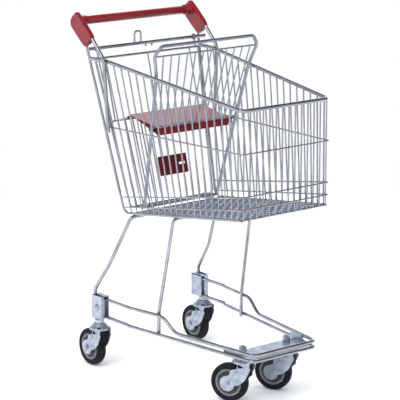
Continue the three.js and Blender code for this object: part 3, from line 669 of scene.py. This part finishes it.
def flap_stay(bm, sx):
    root = gate_point(sx * STAY_ROOT_X, GATE_MID_D, LAP)
    bend, tip = (flap_point(sx * x, STAY_REACH, STAY_M) for x in (STAY_X, STAY_TIP_X))
    sweep(bm, rounded([root, bend, tip], 4, 6), STAY_R)


def pivot_lug(bm, sx):
    foot = gate_point(0, GATE_LOW_D)
    away = Vector((0, BACK_AXIS.y, BACK_AXIS.z)) - foot
    length = away.length
    ex, across = away.normalized(), Vector((1, 0, 0))
    place = basis(ex, across.cross(ex), across, Vector((sx * 108 - 2, foot.y, foot.z)))
    angles = [math.radians(-90 + 15 * k) for k in range(13)]
    nose = [(length + 7 * math.cos(a), 7 * math.sin(a)) for a in angles]
    slab(bm, [(-3, -5)] + nose + [(-3, 5)], 4, place)


def rear_gate():
    bm = bmesh.new()
    lattice(bm, *gate_wires())
    gate_frame(bm)
    for _, sx in SIDES:
        gate_eye(bm, sx)
        flap_stay(bm, sx)
        pivot_lug(bm, sx)
    return bm


# ---- seat-back and flap ----
def back_point(x, h, off=0.0):
    return Vector((x, BACK_AXIS.y, BACK_AXIS.z)) + BACK_UP * h + BACK_REAR * off


def back_half(h):
    if h < BACK_WAIST_H:
        return lerp(BACK_LOW_HALF, BACK_WAIST_HALF, h / BACK_WAIST_H)
    return lerp(BACK_WAIST_HALF, BACK_BAR_HALF, (h - BACK_WAIST_H) / (BACK_BAR_H - BACK_WAIST_H))


def seat_back():
    bm = bmesh.new()
    for i in range(BACK_WIRES):
        k = lerp(-1, 1, (i + 1) / (BACK_WIRES + 1))
        low = back_point(k * back_half(BAND_H), BAND_H - 2, BACK_WIRE_OFF)
        high = back_point(k * back_half(BACK_BAR_H), BACK_BAR_H + 2, BACK_WIRE_OFF)
        sweep(bm, [low, high], WIRE_R, 10)
    for h in (BAND_H, BACK_BAR_H):
        half = back_half(h) - 1
        sweep(bm, [back_point(-half, h), back_point(half, h)], 2.2)
    half = back_half(HINGE_H)
    sweep(bm, [flap_point(-half - 3, 0, 0), flap_point(half + 3, 0, 0)], 2.5)
    for x in (-half, half):
        sweep(bm, [back_point(x, HINGE_H), flap_point(x, 0, 0)], 2.2)
    foot = BACK_LOW_HALF + 6
    sweep(bm, [back_point(-foot, 0), back_point(foot, 0)], 3.7)
    leg = [
        (BACK_LOW_HALF, 0),
        (BACK_WAIST_HALF, BACK_WAIST_H),
        (BACK_BAR_HALF, BACK_BAR_H + 2),
        (BACK_TOP_HALF, BACK_TOP_H),
    ]
    loop = [back_point(-x, h) for x, h in leg] + [back_point(x, h) for x, h in reversed(leg)]
    sweep(bm, rounded(loop, 10, 8), BACK_R, 14)
    return bm


def bush(at, x0, x1, inner, outer):
    bm = bmesh.new()
    profile = [(inner, x0), (outer - 0.8, x0), (outer, x0 + math.copysign(0.8, x1 - x0)),
               (outer, x1 - math.copysign(0.8, x1 - x0)), (outer - 0.8, x1), (inner, x1), (inner, x0)]
    turn(bm, profile, along_x(at), 24)
    return bm


def dress_seat():
    piece("gate_welded", rear_gate(), "rear_gate", WIRE)
    piece("seat_back_welded", seat_back(), "seat_back", DULL_WIRE)
    for name, sx in SIDES:
        knob = bush(flap_point(0, STAY_REACH, STAY_M), sx * 124.8, sx * 130, 2.3, 5)
        piece(f"stay_end_{name}", knob, f"stay_knob_{name}", BLACK)
        clip = bush(flap_point(0, 0, 0), sx * 121.5, sx * 131, 2.8, 6)
        piece(f"hinge_end_{name}", clip, f"hinge_bush_{name}", BLACK)
    flap = dress_node("seat_flap", FLAP_RED, 0.7)
    # faces that look up take the lighter red: painted reflection on the flap's top, beside the darker red
    # of the rest
    flap.data.materials.append(FLAP_TOP_PAINTED_REFLECTION)
    for face in flap.data.polygons:
        face.material_index = 1 if face.normal.dot(FLAP_UP) > 0.9 else 0
    dress_node("sign_plate", SIGN_RED, 0.8)


def dress_node(node, material, bevel=0.0, crease=35):
    """Keeps a CAD node, with soft edges and its material."""
    obj = NODES[node]
    obj.data.materials.clear()
    obj.data.materials.append(material)
    for face in obj.data.polygons:
        face.use_smooth = True
    obj.data.set_sharp_from_angle(angle=math.radians(crease))
    if bevel:
        soften(obj, bevel)
    return obj


# ---- base ----
RAIL_REAR, RAIL_JOG, RAIL_NOSE = (166.5, 251), (167, 119), (104, -322)
RAIL_HEIGHTS = {"lower": (140, 136.5, 131), "upper": (189, 187, 146.5)}
RAIL_DROP = ((-10, 187), (-53, 151))


def rail_x(y):
    t = (RAIL_JOG[1] - 8 - y) / (RAIL_JOG[1] - 8 - RAIL_NOSE[1])
    return lerp(RAIL_JOG[0] - 2.5, RAIL_NOSE[0], t)


def base_rail(level):
    rear, mid, nose = RAIL_HEIGHTS[level]
    half = [
        (RAIL_REAR[0], RAIL_REAR[1], rear),
        (RAIL_REAR[0], 200, rear),
        (RAIL_JOG[0], RAIL_JOG[1], rear - 0.6),
        (rail_x(RAIL_JOG[1] - 8), RAIL_JOG[1] - 8, mid),
    ]
    if level == "upper":
        half += [(rail_x(y), y, z) for y, z in RAIL_DROP]
    half.append((RAIL_NOSE[0], RAIL_NOSE[1], nose))
    bm = bmesh.new()
    sweep(bm, mirrored_loop(half, 18, 6), RAIL_R)
    return bm


def leg_hoop(half, radius):
    bm = bmesh.new()
    sweep(bm, mirrored_loop(half, radius), LEG_R, 16)
    return bm


SOCKET_X, SOCKET_Y, SOCKET_Z, SOCKET_WALL = (171.5, 187.5), (208, 251), (134.3, 198.5), 2.2
CLASP_X = (158.5, 161)
BOLT_Y, BOLT_Z = 224, 166


def ordered(sx, a, b):
    return (a, b) if sx > 0 else (-b, -a)


def block(bm, x, y, z, r=0.8):
    """Box with rounded vertical corners."""
    outline = rounded_rectangle(x[0], x[1], y[0] + CENTRE_Y, y[1] + CENTRE_Y, r)
    slab(bm, outline, z[1] - z[0], Matrix.Translation((0, 0, z[0])))


def socket(sx):
    """Rounded box tube with open ends, its web and the clasp round the rails."""
    bm = bmesh.new()
    (x0, x1), (y0, y1), (z0, z1) = ordered(sx, *SOCKET_X), SOCKET_Y, SOCKET_Z
    w = SOCKET_WALL
    outer = rounded_rectangle(x0, x1, y0 + CENTRE_Y, y1 + CENTRE_Y, 4.5)
    inner = rounded_rectangle(x0 + w, x1 - w, y0 + w + CENTRE_Y, y1 - w + CENTRE_Y, 2.4)
    rings = [
        [Vector((*p, z0)) for p in outer],
        [Vector((*p, z1)) for p in outer],
        [Vector((*p, z1)) for p in inner],
        [Vector((*p, z0)) for p in inner],
    ]
    skin(bm, rings, closed=True)
    block(bm, ordered(sx, CLASP_X[0], SOCKET_X[0] + 0.5), (y0, y1), (z1 - 3, z1))
    block(bm, ordered(sx, *CLASP_X), (y0, y1), (z0 + 3, z1))
    return bm


def socket_bolt(sx):
    face = SOCKET_X[1] + 0.2
    washer = [(0, -2), (5, -2), (9.5, 0), (9.5, 1.6), (8.9, 2.2), (8.2, 2.3)]
    angles = [math.radians(15 * k) for k in range(6)]
    dome = [(8.2 * math.cos(a), 2.3 + 5.2 * math.sin(a)) for a in angles] + [(0, 7.5)]
    profile = [(r, face + h) for r, h in washer + dome]
    bm = bmesh.new()
    turn(bm, [(r, sx * h) for r, h in profile], along_x(lay((0, BOLT_Y, BOLT_Z))))
    return bm


def stem_nut(name):
    x, y, _ = JOINTS[f"swivel_spin_front_{name}"]["pos_m"]
    z0 = PLATE_TOP_Z + 0.3
    bm = bmesh.new()
    angles = [math.radians(60 * k + 30) for k in range(6)]
    hexagon = [(10 * math.cos(a), 10 * math.sin(a)) for a in angles]
    slab(bm, hexagon, 14, Matrix.Translation((x * 1000, y * 1000, z0)))
    tip = [(0, 13.9), (4.6, 13.9), (5.4, 15), (5.4, 15.6), (4.6, 16.2), (0, 16.4)]
    turn(bm, tip, Matrix.Translation((x * 1000, y * 1000, z0)), 20)
    return bm


def dress_base():
    rear = [(179, 243.3, 172), (179, 243.3, 205), (177.5, 242, 216), (170, 189, 290), (148, 122, 428)]
    front = [(141, 15, 129), (141, 14, 196), (131, -36, 449.5)]
    piece("rear_bent_legs", leg_hoop([Vector(p) for p in rear], 14), "rear_leg_hoop", WIRE)
    piece("front_bent_legs", leg_hoop([Vector(p) for p in front], 16), "front_leg_hoop", WIRE)
    for level in RAIL_HEIGHTS:
        piece(f"rail_bent_{level}", base_rail(level), f"base_rail_{level}", WIRE)
    dress_node("front_plate", SHEET, 0.6)
    for name, sx in SIDES:
        piece(f"socket_box_{name}", socket(sx), f"socket_rear_{name}", SHEET, bevel=0.6)
        piece(f"socket_dome_{name}", socket_bolt(sx), f"socket_bolt_{name}", SHEET)
        piece(f"stem_hex_{name}", stem_nut(name), f"stem_nut_{name}", SHEET, bevel=0.8)


# ---- casters: built with the swivel axis on Z and the wheel trailing towards +Y ----
FORK_OUTLINE = (
    (-27, 113), (-26, 99), (-22, 80), (-12, 62), (6, 48), (14.8, 46.4), (18.2, 38.1), (25.7, 31.7),
    (35, 29.5), (44.3, 31.7), (51.8, 38.1), (55.2, 46.4), (55.2, 53.6), (51.8, 61.9), (44.3, 68.3),
    (36, 70.5), (28, 76), (22, 88), (23, 113),
)


def stem(top):
    foot = [(0, 101.5), (7.4, 101.5), (8, 102.1), (8, 104.6), (5, 105), (5, 124.3), (12.4, 124.3)]
    collar_and_pin = [(13, 124.9), (13, top - 0.6), (12.4, top), (5.4, top), (5.4, top + 14),
                      (4.8, top + 14.6), (0, top + 14.8)]
    bm = bmesh.new()
    turn(bm, foot + collar_and_pin, None, 32)
    return bm


def fork_leg(bm, x0, outer_sign):
    arc = smooth_outline(FORK_OUTLINE[1:-1], 3)
    outline = [FORK_OUTLINE[0]] + [tuple(p) for p in arc if p[1] < 99.5] + [FORK_OUTLINE[-1]]
    slab(bm, outline, LEG_T, along_x(Vector((x0, 0, 0))))
    face = x0 + (LEG_T if outer_sign > 0 else 0)
    for path in (((-15, 101), (-11, 84), (0, 68), (14, 58)), ((6, 101), (7, 86), (14, 75), (22, 68))):
        points = [Vector((face, y, z)) for y, z in path]
        sweep(bm, rounded(points, 14, 5), 1.5, 8, 0.8)


def fork():
    bm = bmesh.new()
    fork_leg(bm, LEG_IN, 1)
    fork_leg(bm, -LEG_IN - LEG_T, -1)
    head = [(5.5, 106), (25.5, 106), (27, 106.6), (28, 108.4), (27.8, 110.6), (26.6, 112.8), (23.4, 115.4),
            (20.6, 117.6), (18, 121), (16.2, 123.4), (15, 124), (5.5, 124), (5.5, 106)]
    turn(bm, head, None, 48)
    return bm


def head_hole_painted_shade():
    """Black disc on the side of the swivel head: painted shade standing in for the shadowed inside of its
    hole.
    """
    bm = bmesh.new()
    out, up = direction(HOLE_SHADE_AZIMUTH, 0), Vector((0, 0, 1))
    place = basis(up.cross(out), up, out, out * 24.8 + up * 112.0)
    turn(bm, [(0, 0), (4.6, 0), (4.6, 2.2), (3.9, 2.7), (0, 2.8)], place, 20)
    return bm


def axle():
    out = LEG_IN + LEG_T + 0.2
    bm = bmesh.new()
    turn(bm, [(0, -out), (6, -out), (6, out), (0, out)], along_x(Vector((0, TRAIL, WHEEL_R))), 20)
    for side in (-1, 1):
        washer = [(0, out), (8.5, out), (8.5, out + 1.2), (0, out + 1.2)]
        turn(bm, [(r, side * h) for r, h in washer], along_x(Vector((0, TRAIL, WHEEL_R))), 32)
        angles = [math.radians(60 * k) for k in range(6)]
        hexagon = [(6.2 * math.cos(a), 6.2 * math.sin(a)) for a in angles]
        start = out + 1.2 if side > 0 else -out - 4.6
        slab(bm, hexagon, 3.4, along_x(Vector((start, TRAIL, WHEEL_R))))
        tip = [(0, out + 4.6), (3.2, out + 4.6), (2.6, out + 5), (0, out + 5)]
        turn(bm, [(r, side * h) for r, h in tip], along_x(Vector((0, TRAIL, WHEEL_R))), 16)
    return bm


def wheel_core():
    """Hub, web and raised ring: the ring's faces take the second material."""
    hub_and_web = [(6.5, 15), (12.4, 15), (13, 14.4), (13.4, 11), (15, 9.4), (27, 8)]
    half = hub_and_web + [(29, 8.4), (29.9, 10.6), (30.6, 11.5), (34.9, 11.5), (35.8, 11.1)]
    profile = [(r, -h) for r, h in half] + [(r, h) for r, h in reversed(half)]
    profile.append(profile[0])
    bm = bmesh.new()
    turn(bm, profile, None, 56)
    for face in bm.faces:
        c = face.calc_center_median()
        face.material_index = 1 if c.xy.length > 29 else 0
    return bm


def tyre():
    sidewall = [(36.9, 11.6), (37.6, 12.4), (39.2, 12.9), (39.6, 12.6), (40.2, 13.1), (42.5, 13.5)]
    edge = sidewall + [(44.8, 13.2), (47, 12), (48.6, 10), (49.6, 7.2), (50, 4)]
    profile = edge + [(r, -h) for r, h in reversed(edge)]
    profile.append(profile[0])
    bm = bmesh.new()
    turn(bm, profile, None, 72)
    return bm


def dress_caster(name):
    spin, pivot = JOINTS[f"wheel_spin_{name}"], JOINTS[f"swivel_spin_{name}"]
    axis = Vector(spin["axis"])
    centre = Vector(spin["pos_m"])
    at = Vector((pivot["pos_m"][0], pivot["pos_m"][1], 0))
    ahead = Vector((0, 0, 1)).cross(axis)
    set_at = basis(axis, ahead, Vector((0, 0, 1)), at)
    top = FRONT_STEM_TOP if name.startswith("front") else REAR_STEM_TOP
    piece(f"stem_turned_{name}", stem(top), f"stem_{name}", SHEET, set_at)
    piece(f"fork_pressed_{name}", fork(), f"fork_{name}", SHEET, set_at, bevel=0.7)
    # black disc of painted shade where the swivel head has a hole
    piece(f"fork_hole_painted_shade_{name}", head_hole_painted_shade(), f"fork_{name}", BLACK, set_at)
    piece(f"axle_bolt_{name}", axle(), f"axle_{name}", SHEET, set_at, bevel=0.4)
    on_axle = basis(ahead, Vector((0, 0, 1)), axis, centre)
    piece(f"wheel_hub_{name}", wheel_core(), f"wheel_core_{name}", [DARK, GREY], on_axle)
    piece(f"tyre_round_{name}", tyre(), f"tyre_{name}", RUBBER, on_axle, crease=50)
    dress_node(f"guard_pad_{name}", BLACK, 0.8)


# ---- studio ----
FLOOR_R = 2.2
# brightness of the room against the cosine from each middle, and against height
WALL_MIDDLE = direction(-75, 0)
WALL = ((-1, 0.05), (-0.65, 0.25), (-0.2, 0.55), (0.15, 1.0), (1, 1.0))
BACKDROP_MIDDLE = direction(140, 15)
BACKDROP = ((-1, 0.0), (0.7, 0.0), (0.85, 1.4), (1, 1.4))
HEIGHT = ((-1, 1.2), (0.1, 1.2), (0.45, 1.0), (0.62, 0.35), (1, 0.3))


def studio_floor():
    bm = bmesh.new()
    bmesh.ops.create_circle(bm, cap_ends=True, segments=96, radius=FLOOR_R)
    mesh = bpy.data.meshes.new("studio_floor")
    bm.to_mesh(mesh)
    bm.free()
    floor = bpy.data.objects.new("studio_floor", mesh)
    bpy.context.scene.collection.objects.link(floor)
    s = Shader("studio_white")
    s.colour(s.noise(3), (0.3, (0.92, 0.92, 0.92)), (0.7, (0.94, 0.94, 0.94)))
    s.roughness(s.noise(5), 0.9, 0.95)
    s.bsdf.inputs["Specular IOR Level"].default_value = 0.1
    mesh.materials.append(s.material)


def sun(name, azimuth, elevation, spread, strength, glossy=True):
    light = bpy.data.lights.new(name, "SUN")
    light.energy = strength
    light.angle = math.radians(spread)
    obj = bpy.data.objects.new(name, light)
    bpy.context.scene.collection.objects.link(obj)
    obj.rotation_euler = direction(azimuth, elevation).to_track_quat("Z", "Y").to_euler()
    obj.visible_glossy = glossy


def graded(tree, axis, stops):
    """Brightness ramp of the world over the cosine between the view and an axis."""
    dot = tree.nodes.new("ShaderNodeVectorMath")
    dot.operation = "DOT_PRODUCT"
    dot.inputs[1].default_value = axis
    tree.links.new(tree.nodes.new("ShaderNodeTexCoord").outputs["Generated"], dot.inputs[0])
    span = tree.nodes.new("ShaderNodeMapRange")
    span.inputs["From Min"].default_value = -1
    tree.links.new(dot.outputs["Value"], span.inputs["Value"])
    ramp = tree.nodes.new("ShaderNodeValToRGB")
    for k, (cosine, value) in enumerate(stops):
        element = ramp.color_ramp.elements[k] if k < 2 else ramp.color_ramp.elements.new(1)
        element.position = (cosine + 1) / 2
        element.color = (value * 0.95, value * 0.975, value, 1)
    tree.links.new(span.outputs["Result"], ramp.inputs["Fac"])
    return ramp.outputs["Color"]


def mixed(tree, blend, a, b, factor=1.0):
    node = tree.nodes.new("ShaderNodeMixRGB")
    node.blend_type = blend
    for socket, value in zip(("Fac", "Color1", "Color2"), (factor, a, b)):
        if isinstance(value, bpy.types.NodeSocket):
            tree.links.new(value, node.inputs[socket])
        else:
            node.inputs[socket].default_value = value
    return node.outputs["Color"]


def studio_world():
    """White to the eye; to everything lit, a bright wall and backdrop in a room with a dim ceiling."""
    world = bpy.data.worlds.new("studio")
    bpy.context.scene.world = world
    world.use_nodes = True
    tree = world.node_tree
    wall, backdrop = graded(tree, WALL_MIDDLE, WALL), graded(tree, BACKDROP_MIDDLE, BACKDROP)
    walls = mixed(tree, "LIGHTEN", wall, backdrop)
    room = mixed(tree, "MULTIPLY", walls, graded(tree, Vector((0, 0, 1)), HEIGHT))
    eye = tree.nodes.new("ShaderNodeLightPath").outputs["Is Camera Ray"]
    tree.links.new(mixed(tree, "MIX", room, (1, 1, 1, 1), eye), tree.nodes["Background"].inputs["Color"])


VIEW_FROM = (-39.22, 13.03)
VIEW_CENTRE = Vector((-0.0024, 0.0210, 0.4721))
VIEW_DISTANCE = 5.294
VIEW_LENS, VIEW_SENSOR = 182.01, 36


def camera():
    """Long lens at eye height, from the cart's front right."""
    data = bpy.data.cameras.new("camera")
    data.sensor_width = VIEW_SENSOR
    data.lens = VIEW_LENS
    data.clip_start, data.clip_end = 0.1, 200
    obj = bpy.data.objects.new("camera", data)
    bpy.context.scene.collection.objects.link(obj)
    back = direction(*VIEW_FROM)
    obj.location = VIEW_CENTRE + back * VIEW_DISTANCE
    obj.rotation_euler = (-back).to_track_quat("-Z", "Y").to_euler()
    bpy.context.scene.camera = obj


dress_handle()
dress_basket()
dress_seat()
dress_base()
for caster in ("rear_right", "rear_left", "front_right", "front_left"):
    dress_caster(caster)

studio_floor()
studio_world()
sun("overhead", -60, 75, 100, 3.2, glossy=False)
sun("key", -75, 40, 25, 0.7)
camera()
bpy.context.scene.view_settings.view_transform = "Standard"
